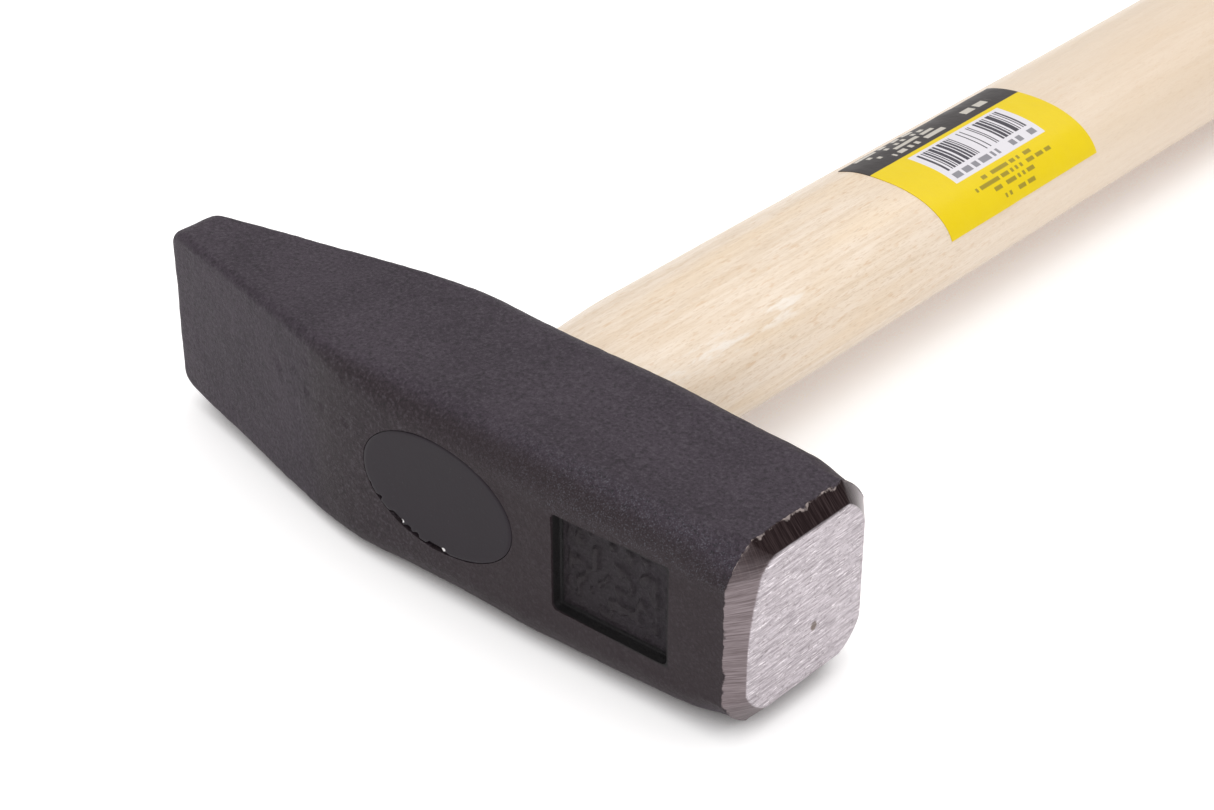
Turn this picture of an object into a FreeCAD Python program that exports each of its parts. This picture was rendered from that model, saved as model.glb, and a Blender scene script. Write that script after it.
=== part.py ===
"""Cross peen hammer: forged head, oval wooden handle, wedges in the eye, resin seal and grip label.

Frame: +X points to the striking face, +Y along the handle away from the head, +Z up.
The hammer lies on one cheek of the head. The origin is on that cheek, below the eye's axis.
Lengths are in millimetres.
"""
import FreeCAD, Part
import math
import os

import Sketcher
from FreeCAD import Vector

NODES_FOLDER = "parts"
BUTT_STEPS = 4

# name, value or formula, meaning
SIZES = [
    ("face_distance", "49.9", "eye axis to the striking face"),
    ("peen_distance", "64.3", "eye axis to the peen's edge"),
    ("face_size", "27", "side of the square striking end"),
    ("face_chamfer", "2.1", "length of the ground chamfer along the head"),
    ("face_chamfer_inset", "2.3", "how far the chamfer steps in at the face"),
    ("face_corner", "5", "corner radius of the striking end"),
    ("body_depth", "29.2", "head at the eye, along the handle"),
    ("body_width", "30", "head at the eye, cheek to cheek"),
    ("body_corner", "6", "rounding of the head's long edges at the eye"),
    ("cheek_length", "32", "flat stretch of the cheeks around the eye"),
    ("peen_thickness", "7.6", "wedge end, along the handle"),
    ("peen_width", "26.4", "wedge end, cheek to cheek"),
    ("peen_rise", "1.2", "wedge end's middle above the head's middle"),
    ("peen_corner", "3", "corner radius of the wedge end"),
    ("peen_nose", "2.2", "rounding of the peen's edge"),
    ("eye_rise", "1.2", "eye axis above the head's middle"),
    ("eye_top_length", "27.3", "eye mouth at the seal, along X"),
    ("eye_top_width", "17", "eye mouth at the seal, along Z"),
    ("eye_waist_length", "22.8", "narrowest eye section, along X"),
    ("eye_waist_width", "13.8", "narrowest eye section, along Z"),
    ("eye_foot_length", "24.4", "eye mouth at the handle, along X"),
    ("eye_foot_width", "15", "eye mouth at the handle, along Z"),
    ("eye_clearance", "0.06", "gap between the eye's wall and what fills it"),
    ("stamp_start", "20.2", "recessed panel, end nearest the eye"),
    ("stamp_length", "18.8", "recessed panel, along X"),
    ("stamp_width", "14.8", "recessed panel, along Z"),
    ("stamp_rise", "0.5", "panel's middle above the head's middle"),
    ("stamp_depth", "1.9", "panel floor below the head's front plane"),
    ("seal_thickness", "1.6", "resin seal over the tenon"),
    ("overall_length", "320", "front of the head to the end of the handle"),
    ("neck_end", "40", "where the neck passes into the shank"),
    ("shank_end", "160", "where the shank passes into the grip"),
    ("grip_end", "30", "butt to the thickest section of the grip"),
    ("shoulder_width", "27.4", "handle where it meets the head, along X"),
    ("shoulder_thickness", "18.2", "handle where it meets the head, along Z"),
    ("neck_width", "27.8", "handle at the end of the neck, along X"),
    ("neck_thickness", "18.2", "handle at the end of the neck, along Z"),
    ("shank_width", "27.2", "handle at the end of the shank, along X"),
    ("shank_thickness", "18.3", "handle at the end of the shank, along Z"),
    ("grip_width", "29", "thickest section of the grip, along X"),
    ("grip_thickness", "20.4", "thickest section of the grip, along Z"),
    ("butt_width", "28", "handle at the butt, along X"),
    ("butt_thickness", "19.6", "handle at the butt, along Z"),
    ("handle_corner", "8.4", "rounding of the handle's long edges"),
    ("butt_rounding", "5", "rounding of the butt's rim"),
    ("wood_wedge_length", "17", "wooden wedge, depth into the tenon"),
    ("wood_wedge_head", "3.4", "wooden wedge, thick end"),
    ("wood_wedge_tip", "0.8", "wooden wedge, thin end"),
    ("wedge_side_gap", "0.3", "wooden wedge's ends to the eye's wall"),
    ("steel_wedge_length", "14", "steel wedge, depth into the tenon"),
    ("steel_wedge_head", "2.4", "steel wedge, thick end"),
    ("steel_wedge_tip", "0.5", "steel wedge, thin end"),
    ("steel_wedge_width", "10.5", "steel wedge, along Z"),
    ("label_start", "81.4", "label edge nearest the head"),
    ("label_length", "39.2", "label, along the handle"),
    ("label_thickness", "0.16", "film with its glue"),
    ("label_clearance", "0.08", "gap that keeps the label's film clear of the wood"),
    ("label_front_edge", "0.5", "line that cuts the label open: its height one handle width out, at +X"),
    ("label_back_edge", "11.8", "line that cuts the label open: its height one handle width out, at -X"),
    # places that follow from the sizes above
    ("head_front", "=body_depth / 2", "distance from the middle to the head's front and back"),
    ("butt_place", "=overall_length - head_front", "handle's end"),
    ("eye_height", "=body_width / 2 + eye_rise", "eye axis above the resting cheek"),
    ("seal_share", "=seal_thickness / head_front", "seal's share of the eye's front half"),
    ("seal_floor_length", "=eye_top_length - (eye_top_length - eye_waist_length) * seal_share",
     "eye under the seal, along X"),
    ("seal_floor_width", "=eye_top_width - (eye_top_width - eye_waist_width) * seal_share",
     "eye under the seal, along Z"),
    ("tenon_front", "=head_front - seal_thickness", "front of the tenon and of its wedges"),
    ("wood_wedge_width", "=eye_waist_length - 2 * wedge_side_gap", "wooden wedge, along the eye"),
    ("label_end", "=label_start + label_length", "label edge nearest the grip"),
    ("shank_length", "=shank_end - neck_end", "stretch that carries the label"),
    ("label_start_share", "=(label_start - neck_end) / shank_length", "label's start along the shank"),
    ("label_end_share", "=(label_end - neck_end) / shank_length", "label's end along the shank"),
    ("shank_swell", "=shank_width - neck_width", "growth of the shank's width"),
    ("shank_thickening", "=shank_thickness - neck_thickness", "growth of the shank's thickness"),
    ("label_start_width", "=neck_width + shank_swell * label_start_share",
     "wood under the label's start, along X"),
    ("label_start_depth", "=neck_thickness + shank_thickening * label_start_share",
     "wood under the label's start, along Z"),
    ("label_end_width", "=neck_width + shank_swell * label_end_share",
     "wood under the label's end, along X"),
    ("label_end_depth", "=neck_thickness + shank_thickening * label_end_share",
     "wood under the label's end, along Z"),
    ("label_reach", "=label_clearance + label_thickness", "wood to the label's outside"),
]

doc = FreeCAD.newDocument("cross_peen_hammer")
sizes = doc.addObject("Spreadsheet::Sheet", "sizes")
for row, (alias, value, meaning) in enumerate(SIZES, start=1):
    sizes.set(f"A{row}", alias)
    sizes.set(f"B{row}", value)
    sizes.set(f"C{row}", meaning)
    sizes.setAlias(f"B{row}", alias)
doc.recompute()


def in_sheet(formula):
    """The formula with each size's name pointing at the sheet."""
    aliases = {alias for alias, _, _ in SIZES}
    return " ".join(f"sizes.{word}" if word in aliases else word for word in formula.split())


def value_of(formula):
    """The formula's present value, for a first drawing of a sketch."""
    return float(sizes.evalExpression(in_sheet(formula)))


def bind(target, field, formula):
    """Ties one field of an object to the sheet. The formula's words are parted by spaces."""
    target.setExpression(field, in_sheet(formula))


def new_body(label, height="eye_height"):
    """An empty body whose own axes stand at the given height above the resting cheek."""
    body = doc.addObject("PartDesign::Body", label)
    body.Label = label
    bind(body, "Placement.Base.z", height)
    return body


def new_sketch(body, name, plane, offset="0"):
    """A sketch on one of the body's origin planes, moved along the plane's normal."""
    sketch = body.newObject("Sketcher::SketchObject", name)
    support = [feature for feature in body.Origin.OriginFeatures if feature.Role == plane]
    sketch.AttachmentSupport = [(support[0], "")]
    sketch.MapMode = "FlatFace"
    bind(sketch, "AttachmentOffset.Base.z", offset)
    return sketch


def dimension(sketch, kind, references, formula):
    """A driving dimension of a sketch, tied to the sheet."""
    index = sketch.addConstraint(Sketcher.Constraint(kind, *references, abs(value_of(formula))))
    bind(sketch, f"Constraints[{index}]", formula)


def draw_rounded_rectangle(sketch, width, height, radius):
    """A rounded rectangle centred on the sketch's origin."""
    corner = value_of(radius)
    straight_x = value_of(width) / 2 - corner
    straight_y = value_of(height) / 2 - corner
    quarter = math.pi / 2
    for turn, (x_side, y_side) in enumerate([(1, -1), (1, 1), (-1, 1), (-1, -1)]):
        centre = Vector(x_side * straight_x, y_side * straight_y, 0)
        before = quarter * (turn - 1)
        arc = Part.ArcOfCircle(Part.Circle(centre, Vector(0, 0, 1), corner), before, before + quarter)
        sketch.addGeometry(arc, False)
    for turn in range(4):
        start = sketch.Geometry[turn].EndPoint
        end = sketch.Geometry[(turn + 1) % 4].StartPoint
        sketch.addGeometry(Part.LineSegment(start, end), False)
    for turn in range(4):
        side = 4 + turn
        sketch.addConstraint(Sketcher.Constraint("Tangent", turn, 2, side, 1))
        sketch.addConstraint(Sketcher.Constraint("Tangent", side, 2, (turn + 1) % 4, 1))
    for side, direction in enumerate(["Vertical", "Horizontal", "Vertical", "Horizontal"], start=4):
        sketch.addConstraint(Sketcher.Constraint(direction, side))
    for turn in range(1, 4):
        sketch.addConstraint(Sketcher.Constraint("Equal", 0, turn))
    sketch.addConstraint(Sketcher.Constraint("Symmetric", 0, 3, 2, 3, -1, 1))
    dimension(sketch, "Radius", (0,), radius)
    dimension(sketch, "DistanceX", (3, 3, 0, 3), f"{width} - 2 * {radius}")
    dimension(sketch, "DistanceY", (0, 3, 1, 3), f"{height} - 2 * {radius}")


def draw_ellipse(sketch, length, width):
    """An ellipse centred on the sketch's origin, longest along the sketch's first axis."""
    curve = Part.Ellipse(Vector(0, 0, 0), value_of(length) / 2, value_of(width) / 2)
    sketch.addGeometry(curve, False)
    sketch.exposeInternalGeometry(0)
    sketch.addConstraint(Sketcher.Constraint("Coincident", 0, 3, -1, 1))
    sketch.addConstraint(Sketcher.Constraint("Horizontal", 1))
    dimension(sketch, "Distance", (1,), length)
    dimension(sketch, "Distance", (2,), width)


def draw_rectangle(sketch, left, right, low, high):
    """A rectangle between four formulas, measured from the sketch's origin."""
    corners = [(left, low), (right, low), (right, high), (left, high)]
    draw_polygon(sketch, corners)


def draw_polygon(sketch, corners):
    """A closed polygon whose corners are pairs of formulas, measured from the sketch's origin."""
    points = [Vector(value_of(x), value_of(y), 0) for x, y in corners]
    count = len(points)
    for index in range(count):
        sketch.addGeometry(Part.LineSegment(points[index], points[(index + 1) % count]), False)
    for index in range(count):
        sketch.addConstraint(Sketcher.Constraint("Coincident", index, 2, (index + 1) % count, 1))
    for index, (x, y) in enumerate(corners):
        for kind, formula in (("DistanceX", x), ("DistanceY", y)):
            if value_of(formula) >= 0:
                dimension(sketch, kind, (-1, 1, index, 1), formula)
            else:
                dimension(sketch, kind, (index, 1, -1, 1), f"- ( {formula} )")


def loft(body, kind, name, sections):
    """A straight-sided loft through the sketches, in order."""
    doc.recompute()
    feature = body.newObject(f"PartDesign::{kind}Loft", name)
    feature.Profile = sections[0]
    feature.Sections = sections[1:]
    feature.Ruled = True
    return feature


def prism(body, kind, name, sketch, length, both_ways=False):
    """A pad or pocket of one length, to one side of the sketch or half to each."""
    feature = body.newObject(f"PartDesign::{kind}", name)
    feature.Profile = sketch
    bind(feature, "Length", length)
    if both_ways:
        feature.SideType = "Symmetric"
    return feature


def end_rim(solid, axis, place):
    """Names of the edges that lie in a solid's end plane, square to one axis (0, 1 or 2)."""
    edges = []
    for number, edge in enumerate(solid.Edges, start=1):
        box = edge.BoundBox
        low = (box.XMin, box.YMin, box.ZMin)[axis]
        high = (box.XMax, box.YMax, box.ZMax)[axis]
        if abs(low - place) < 0.01 and abs(high - place) < 0.01:
            edges.append(f"Edge{number}")
    return edges


def round_rim(body, name, axis, place, radius):
    """Rounds the rim of a body's end face."""
    doc.recompute()
    blank = body.Tip
    feature = body.newObject("PartDesign::Fillet", name)
    feature.Base = (blank, end_rim(blank.Shape, axis, value_of(place)))
    bind(feature, "Radius", radius)


def removed_volume(body, build):
    """Runs a cutting step and stops if it took nothing away."""
    doc.recompute()
    before = body.Shape.Volume
    build()
    doc.recompute()
    if before - body.Shape.Volume < 0.01:
        raise RuntimeError(f"{body.Label}: a cut removed nothing")


def eye_section(body, name, place, length, width):
    """An eye-shaped sketch. Its plane faces the front of the head, so places count against +Y."""
    sketch = new_sketch(body, name, "XZ_Plane", place)
    draw_ellipse(sketch, length, width)
    return sketch


def build_head():
    """Forged head: square striking end, thicker body around the eye, wedge-shaped peen."""
    body = new_body("head", "body_width / 2")
    stations = [
        ("face", "face_distance", "face_size - 2 * face_chamfer_inset",
         "face_size - 2 * face_chamfer_inset", "face_corner - face_chamfer_inset", "0"),
        ("chamfer", "face_distance - face_chamfer", "face_size", "face_size", "face_corner", "0"),
        ("body_front", "cheek_length / 2", "body_depth", "body_width", "body_corner", "0"),
        ("body_back", "- cheek_length / 2", "body_depth", "body_width", "body_corner", "0"),
        ("peen", "- peen_distance", "peen_thickness", "peen_width", "peen_corner", "peen_rise"),
    ]
    sections = []
    for name, place, depth, width, corner, rise in stations:
        sketch = new_sketch(body, f"{name}_section", "YZ_Plane", place)
        bind(sketch, "AttachmentOffset.Base.y", rise)
        draw_rounded_rectangle(sketch, f"( {depth} )", f"( {width} )", f"( {corner} )")
        sections.append(sketch)
    loft(body, "Additive", "forging", sections)
    round_rim(body, "peen_edge", 0, "- peen_distance", "peen_nose")
    removed_volume(body, lambda: cut_eye(body))
    removed_volume(body, lambda: cut_stamp(body))
    return body


def cut_eye(body):
    """The eye narrows from both mouths to a waist in the middle of the head."""
    mouths = [
        ("foot", "- head_front", "eye_foot_length", "eye_foot_width"),
        ("waist", "0", "eye_waist_length", "eye_waist_width"),
        ("top", "head_front", "eye_top_length", "eye_top_width"),
    ]
    sections = []
    for name, place, length, width in mouths:
        sketch = eye_section(body, f"eye_{name}", place, length, width)
        bind(sketch, "AttachmentOffset.Base.y", "eye_rise")
        sections.append(sketch)
    loft(body, "Subtractive", "eye", sections)


def cut_stamp(body):
    """A shallow rectangular panel in the front of the striking end."""
    sketch = new_sketch(body, "stamp_outline", "XZ_Plane", "head_front")
    bind(sketch, "AttachmentOffset.Base.y", "stamp_rise")
    draw_rectangle(sketch, "stamp_start", "stamp_start + stamp_length",
                   "- stamp_width / 2", "stamp_width / 2")
    prism(body, "Pocket", "stamp", sketch, "stamp_depth")


def tenon_section(body, name, place, length, width):
    """An eye section that leaves the clearance to the eye's wall."""
    return eye_section(body, name, place, f"{length} - 2 * eye_clearance", f"{width} - 2 * eye_clearance")


def draw_wedge(sketch, length, head, tip, along_first_axis):
    """A wedge's side view, its thick end level with the tenon's front."""
    outline = [
        ("tenon_front", f"- {head} / 2"), ("tenon_front", f"{head} / 2"),
        (f"tenon_front - {length}", f"{tip} / 2"), (f"tenon_front - {length}", f"- {tip} / 2"),
    ]
    if along_first_axis:
        draw_polygon(sketch, [(f"- ( {reach} )", side) for reach, side in outline])
    else:
        draw_polygon(sketch, [(side, f"- ( {reach} )") for reach, side in outline])


def wood_wedge_prism(body, kind, name):
    """The wooden wedge's solid, or its kerf: it lies along the eye."""
    sketch = new_sketch(body, f"{name}_outline", "YZ_Plane")
    draw_wedge(sketch, "wood_wedge_length", "wood_wedge_head", "wood_wedge_tip", True)
    width = "wood_wedge_width" if kind == "Pad" else "eye_top_length"
    prism(body, kind, name, sketch, width, both_ways=True)


def steel_wedge_prism(body, kind, name):
    """The steel wedge's solid, or its slot: it lies across the eye."""
    sketch = new_sketch(body, f"{name}_outline", "XY_Plane")
    draw_wedge(sketch, "steel_wedge_length", "steel_wedge_head", "steel_wedge_tip", False)
    prism(body, kind, name, sketch, "steel_wedge_width", both_ways=True)


def build_handle():
    """Wooden handle: tenon in the eye, neck, shank, swelling grip and rounded butt."""
    body = new_body("handle")
    stations = [
        ("shoulder", "head_front", "shoulder_width", "shoulder_thickness"),
        ("neck", "neck_end", "neck_width", "neck_thickness"),
        ("shank", "shank_end", "shank_width", "shank_thickness"),
        ("grip", "butt_place - grip_end", "grip_width", "grip_thickness"),
    ]
    stations = [(name, place, width, thickness, "0") for name, place, width, thickness in stations]
    for step in range(BUTT_STEPS + 1):
        angle = math.pi / 2 * step / BUTT_STEPS
        setback = f"butt_rounding * {1 - math.sin(angle):.5f}"
        inset = f"butt_rounding * {1 - math.cos(angle):.5f}"
        stations.append((f"butt_{step}", f"butt_place - {setback}", "butt_width", "butt_thickness", inset))
    sections = []
    for name, place, width, thickness, inset in stations:
        sketch = new_sketch(body, f"{name}_section", "XZ_Plane", f"- ( {place} )")
        draw_rounded_rectangle(sketch, f"( {width} - 2 * {inset} )", f"( {thickness} - 2 * {inset} )",
                               f"( handle_corner - {inset} )")
        sections.append(sketch)
    loft(body, "Additive", "shaft", sections)
    foot = tenon_section(body, "tenon_foot", "- head_front", "eye_foot_length", "eye_foot_width")
    waist = tenon_section(body, "tenon_waist", "0", "eye_waist_length", "eye_waist_width")
    front = tenon_section(body, "tenon_front_section", "tenon_front",
                          "seal_floor_length", "seal_floor_width")
    loft(body, "Additive", "tenon", [foot, waist, front])
    removed_volume(body, lambda: wood_wedge_prism(body, "Pocket", "kerf"))
    removed_volume(body, lambda: steel_wedge_prism(body, "Pocket", "steel_slot"))
    return body


def build_wood_wedge():
    """Wooden wedge along the eye, split by the steel wedge across it."""
    body = new_body("wood_wedge")
    wood_wedge_prism(body, "Pad", "wedge")
    removed_volume(body, lambda: steel_wedge_prism(body, "Pocket", "steel_slot"))
    return body


def build_steel_wedge():
    """Steel wedge driven across the wooden one."""
    body = new_body("steel_wedge")
    steel_wedge_prism(body, "Pad", "wedge")
    return body


def build_eye_seal():
    """Resin that closes the eye flush with the head's front."""
    body = new_body("eye_seal")
    outside = tenon_section(body, "seal_outside", "head_front", "eye_top_length", "eye_top_width")
    inside = tenon_section(body, "seal_inside", "tenon_front", "seal_floor_length", "seal_floor_width")
    loft(body, "Additive", "plug", [outside, inside])
    return body


def build_label():
    """Printed film bent over the top of the shank. The underside stays bare."""
    body = new_body("label")
    ends = [
        ("start", "label_start", "label_start_width", "label_start_depth"),
        ("end", "label_end", "label_end_width", "label_end_depth"),
    ]
    layers = (("film", "Additive", "label_reach"), ("bed", "Subtractive", "label_clearance"))
    for layer, kind, reach in layers:
        sections = []
        for name, place, width, depth in ends:
            sketch = new_sketch(body, f"{layer}_{name}", "XZ_Plane", f"- {place}")
            draw_rounded_rectangle(sketch, f"( {width} + 2 * {reach} )", f"( {depth} + 2 * {reach} )",
                                   f"( handle_corner + {reach} )")
            sections.append(sketch)
        loft(body, kind, layer, sections)
    removed_volume(body, lambda: open_label(body))
    return body


def open_label(body):
    """Cuts away the stretch below the label's two open edges."""
    sketch = new_sketch(body, "opening", "XZ_Plane", "- label_start")
    draw_polygon(sketch, [
        ("- label_end_width", "label_back_edge"), ("- label_end_width", "- label_end_width"),
        ("label_end_width", "- label_end_width"), ("label_end_width", "label_front_edge"),
    ])
    prism(body, "Pocket", "open_side", sketch, "label_length")


def check_document(bodies):
    """Stops if a feature failed or a piece is not one sound solid."""
    faults = [item.Name for item in doc.Objects if "Invalid" in item.State or "Error" in item.State]
    for body in bodies:
        if body.Shape.isNull() or not body.Shape.isValid() or len(body.Shape.Solids) < 1:
            faults.append(body.Label)
    if faults:
        raise RuntimeError("these did not build: " + ", ".join(faults))


bodies = [
    build_head(), build_handle(), build_wood_wedge(), build_steel_wedge(), build_eye_seal(), build_label(),
]
doc.recompute()
check_document(bodies)
os.makedirs(NODES_FOLDER, exist_ok=True)
for body in bodies:
    body.Shape.exportStep(os.path.join(NODES_FOLDER, body.Label + ".step"))
    box = body.Shape.BoundBox
    print(body.Label, "solids", len(body.Shape.Solids), "volume", round(body.Shape.Volume, 1), "box",
          [round(edge, 2) for edge in (box.XMin, box.YMin, box.ZMin, box.XMax, box.YMax, box.ZMax)])
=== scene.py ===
import math

import bpy
from mathutils import Matrix, Vector, noise


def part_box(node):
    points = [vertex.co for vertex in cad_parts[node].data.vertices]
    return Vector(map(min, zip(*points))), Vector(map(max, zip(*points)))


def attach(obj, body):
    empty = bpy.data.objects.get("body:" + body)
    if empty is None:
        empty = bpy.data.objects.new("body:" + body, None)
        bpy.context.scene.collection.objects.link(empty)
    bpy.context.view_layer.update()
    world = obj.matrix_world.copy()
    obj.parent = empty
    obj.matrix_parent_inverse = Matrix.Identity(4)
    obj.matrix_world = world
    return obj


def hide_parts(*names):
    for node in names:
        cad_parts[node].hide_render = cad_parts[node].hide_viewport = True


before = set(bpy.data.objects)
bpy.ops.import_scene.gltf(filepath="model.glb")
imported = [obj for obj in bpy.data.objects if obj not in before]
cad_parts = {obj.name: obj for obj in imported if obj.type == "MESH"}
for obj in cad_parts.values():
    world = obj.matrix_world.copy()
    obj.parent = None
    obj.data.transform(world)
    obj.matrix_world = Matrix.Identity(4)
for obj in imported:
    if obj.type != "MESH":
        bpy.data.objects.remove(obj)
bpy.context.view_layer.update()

MM = 0.001

HEAD_LOW, HEAD_HIGH = (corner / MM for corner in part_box("head"))
SEAL_LOW, SEAL_HIGH = (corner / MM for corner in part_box("eye_seal"))
LABEL_LOW, LABEL_HIGH = (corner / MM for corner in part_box("label"))
WEDGE_LOW, WEDGE_HIGH = (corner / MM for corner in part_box("wood_wedge"))
HANDLE_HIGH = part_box("handle")[1] / MM

PEEN_X = HEAD_LOW.x
FACE_X = HEAD_HIGH.x - 0.002
HEAD_FRONT = -HEAD_LOW.y
HEAD_Z = HEAD_HIGH.z / 2
EYE_Z = (WEDGE_LOW.z + WEDGE_HIGH.z) / 2
TENON_FRONT = SEAL_HIGH.y
BUTT_Y = HANDLE_HIGH.y

# Edges between faces that meet at more than these angles, in degrees, are shaded sharp.
SHARP_ANGLE = 40
PANEL_SHARP_ANGLE = 32
PLAIN_SHARP_ANGLE = 50


# ---------------------------------------------------------------- shared shape tools

def ramp(distance, reach):
    """0 before a bend and the distance past it after, joined by a parabola over twice the reach."""
    if distance <= -reach:
        return 0.0
    if distance >= reach:
        return distance
    return (distance + reach) ** 2 / (4 * reach)


def bent_line(place, points):
    """Straight stretches through (place, value, reach of the bend there), with rounded bends."""
    (x0, v0, _), (x1, v1, _) = points[0], points[1]
    slope = (v1 - v0) / (x1 - x0)
    value = v0 + slope * (place - x0)
    for (xa, va, reach), (xb, vb, _) in zip(points[1:], points[2:]):
        next_slope = (vb - va) / (xb - xa)
        value += (next_slope - slope) * ramp(place - xa, reach)
        slope = next_slope
    return value


def smooth_step(low, high, value):
    share = min(max((value - low) / (high - low), 0.0), 1.0)
    return share * share * (3 - 2 * share)


def rough(point, size, seed=0.0):
    """Smooth noise from -1 to 1, with features of the given size in millimetres."""
    return noise.noise(Vector(point) / size + Vector((seed, seed * 1.7, -seed)))


def layered(point, layers):
    """Noise summed over layers of (amplitude, size of the features, seed)."""
    return sum(amplitude * rough(point, size, seed) for amplitude, size, seed in layers)


def spread(low, high, count):
    return [low + (high - low) * step / (count - 1) for step in range(count)]


def between(first, last, share):
    """The point a share of the way from the first point to the last."""
    return tuple(a + (b - a) * share for a, b in zip(first, last))


def densify(ring, step):
    """Adds points to a closed outline until none are further apart than the step."""
    dense = []
    for first, last in zip(ring, ring[1:] + ring[:1]):
        pieces = max(1, math.ceil(math.dist(first, last) / step))
        dense += [between(first, last, index / pieces) for index in range(pieces)]
    return dense


def skin(rings):
    """Vertices and faces of a tube through rings of equal length, closed by a fan at each end."""
    count = len(rings[0])
    points = [point for ring in rings for point in ring]
    faces = []
    for row in range(len(rings) - 1):
        for column in range(count):
            after = (column + 1) % count
            faces.append((row * count + column, row * count + after,
                          (row + 1) * count + after, (row + 1) * count + column))
    for row, flip in ((0, True), (len(rings) - 1, False)):
        middle = sum((Vector(point) for point in rings[row]), Vector()) / count
        points.append(tuple(middle))
        for column in range(count):
            pair = (row * count + column, row * count + (column + 1) % count)
            faces.append((*(pair[::-1] if flip else pair), len(points) - 1))
    return points, faces


def make_piece(name, points, faces, sharp_angle=SHARP_ANGLE):
    """A mesh piece from points in millimetres, shaded smooth except across sharp edges."""
    mesh = bpy.data.meshes.new(name)
    mesh.from_pydata([Vector(point) * MM for point in points], [], faces)
    mesh.update()
    piece = bpy.data.objects.new(name, mesh)
    bpy.context.scene.collection.objects.link(piece)
    face_outwards(mesh)
    shade(mesh, sharp_angle)
    return piece


def face_outwards(mesh):
    """Turns a closed mesh's faces outwards if its signed volume says they point in."""
    volume = 0.0
    for face in mesh.polygons:
        first = mesh.vertices[face.vertices[0]].co
        for second, third in zip(face.vertices[1:], face.vertices[2:]):
            volume += first.dot(mesh.vertices[second].co.cross(mesh.vertices[third].co))
    if volume < 0:
        mesh.flip_normals()


def shade(mesh, sharp_angle):
    mesh.shade_smooth()
    mesh.set_sharp_from_angle(angle=math.radians(sharp_angle))


def cut(piece, cutter, sharp_angle=SHARP_ANGLE):
    """Takes the cutter's shape out of the piece and removes the cutter."""
    boolean = piece.modifiers.new("cut", "BOOLEAN")
    boolean.operation = "DIFFERENCE"
    boolean.solver = "EXACT"
    boolean.object = cutter
    graph = bpy.context.evaluated_depsgraph_get()
    mesh = bpy.data.meshes.new_from_object(piece.evaluated_get(graph))
    piece.modifiers.clear()
    piece.data = mesh
    shade(mesh, sharp_angle)
    bpy.data.objects.remove(cutter)


def dress(piece, material):
    """Gives a piece its one material."""
    piece.data.materials.clear()
    piece.data.materials.append(material)


# ---------------------------------------------------------------- head

# The head's half sizes and corner radius along X, as (x, size, reach of the bend there).
FRONT_PROFILE = [(PEEN_X, 4.0, 0), (-17, 14.5, 5.5), (15, 14.55, 9), (FACE_X, 13.5, 0)]
BACK_PROFILE = [(PEEN_X, 3.4, 0), (-13.6, 14.5, 5), (15, 14.55, 12), (FACE_X, 13.5, 0)]
TOP_PROFILE = [(PEEN_X, 14.2, 0), (-26, 14.8, 10), (14, 14.95, 10), (FACE_X, 13.5, 0)]
UNDER_PROFILE = [(PEEN_X, 11.95, 0), (-10, 14.85, 9), (14, 15.0, 9), (FACE_X, 13.5, 0)]
CORNER_PROFILE = [(PEEN_X, 1.4, 0), (-26, 1.9, 5), (-4, 5.8, 8), (FACE_X, 4.8, 0)]
BODY_RINGS = 260
SIDE_POINTS = 56
CORNER_POINTS = 16
WIDEST_CORNER = 0.9     # as a share of the section's smallest half size

# The peen's edge is rounded to the front and back by NOSE, and towards its two ends by NOSE_ENDS.
NOSE = 2.4
NOSE_ENDS = 4.2
NOSE_RINGS = 10

# The striking face and the chamfer ground around it. Flatness turns round corners into cut ones.
HALF_FACE = 13.5
CHAMFER_LENGTH = 2.1
CHAMFER_X = FACE_X - CHAMFER_LENGTH
CHAMFER_INSET = 2.3
CHAMFER_RINGS = 6
FACE_CORNER = 4.0
FACE_FLATNESS = 0.5
FACE_SHARP_CORNER = 0.45    # radius of the face's front upper corner, as a share of the others'
BODY_CORNER = 4.8
BODY_FLATNESS = 0.65
CUT_CORNER_LENGTH = 7       # how far the cut corners run out behind the chamfer
CORNER_LEAN = 3.1           # how far the face's front upper corner was ground in
LEAN_START = -3.0           # height where that lean begins

# The forged skin: (depth, size of the features, seed), all in millimetres.
SKIN_LEVEL = 0.12
SKIN_WAVES = [(0.12, 12, 3.0), (0.07, 5, 8.0)]
SKIN_GRIT = [(0.05, 2.2, 1.0), (0.03, 1.1, 5.0)]
PIT_DEPTH = 0.17


def rounded_section(half_front, half_back, half_top, half_under, corner, flatness, front_top=1.0):
    """Points around a rounded rectangle in (y, z).

    Front_top scales the radius of the corner between the front and the top cheek.
    """
    radii = [corner, corner, corner * front_top, corner]
    arcs = []
    for turn, (side_y, side_z) in enumerate([(1, -1), (1, 1), (-1, 1), (-1, -1)]):
        radius = radii[turn]
        centre_y = side_y * ((half_back if side_y > 0 else half_front) - radius)
        centre_z = side_z * ((half_top if side_z > 0 else half_under) - radius)
        arc = []
        for step in range(CORNER_POINTS + 1):
            angle = math.pi / 2 * (turn - 1 + step / CORNER_POINTS)
            arc.append((centre_y + radius * math.cos(angle), centre_z + radius * math.sin(angle)))
        arcs.append(arc)
    ring = []
    for arc, next_arc in zip(arcs, arcs[1:] + arcs[:1]):
        for step in range(CORNER_POINTS):
            chord = between(arc[0], arc[-1], step / CORNER_POINTS)
            ring.append(between(arc[step], chord, flatness))
        for step in range(SIDE_POINTS):
            ring.append(between(arc[-1], next_arc[0], step / SIDE_POINTS))
    return ring


def lean_in(y, z, half, share):
    """Moves the striking face's front upper corner in: it was ground back further than the others."""
    height = max((z - LEAN_START) / (half - LEAN_START), 0)
    side = (half - y) / (2 * half)
    return y + CORNER_LEAN * share * height ** 2 * side, z


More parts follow.
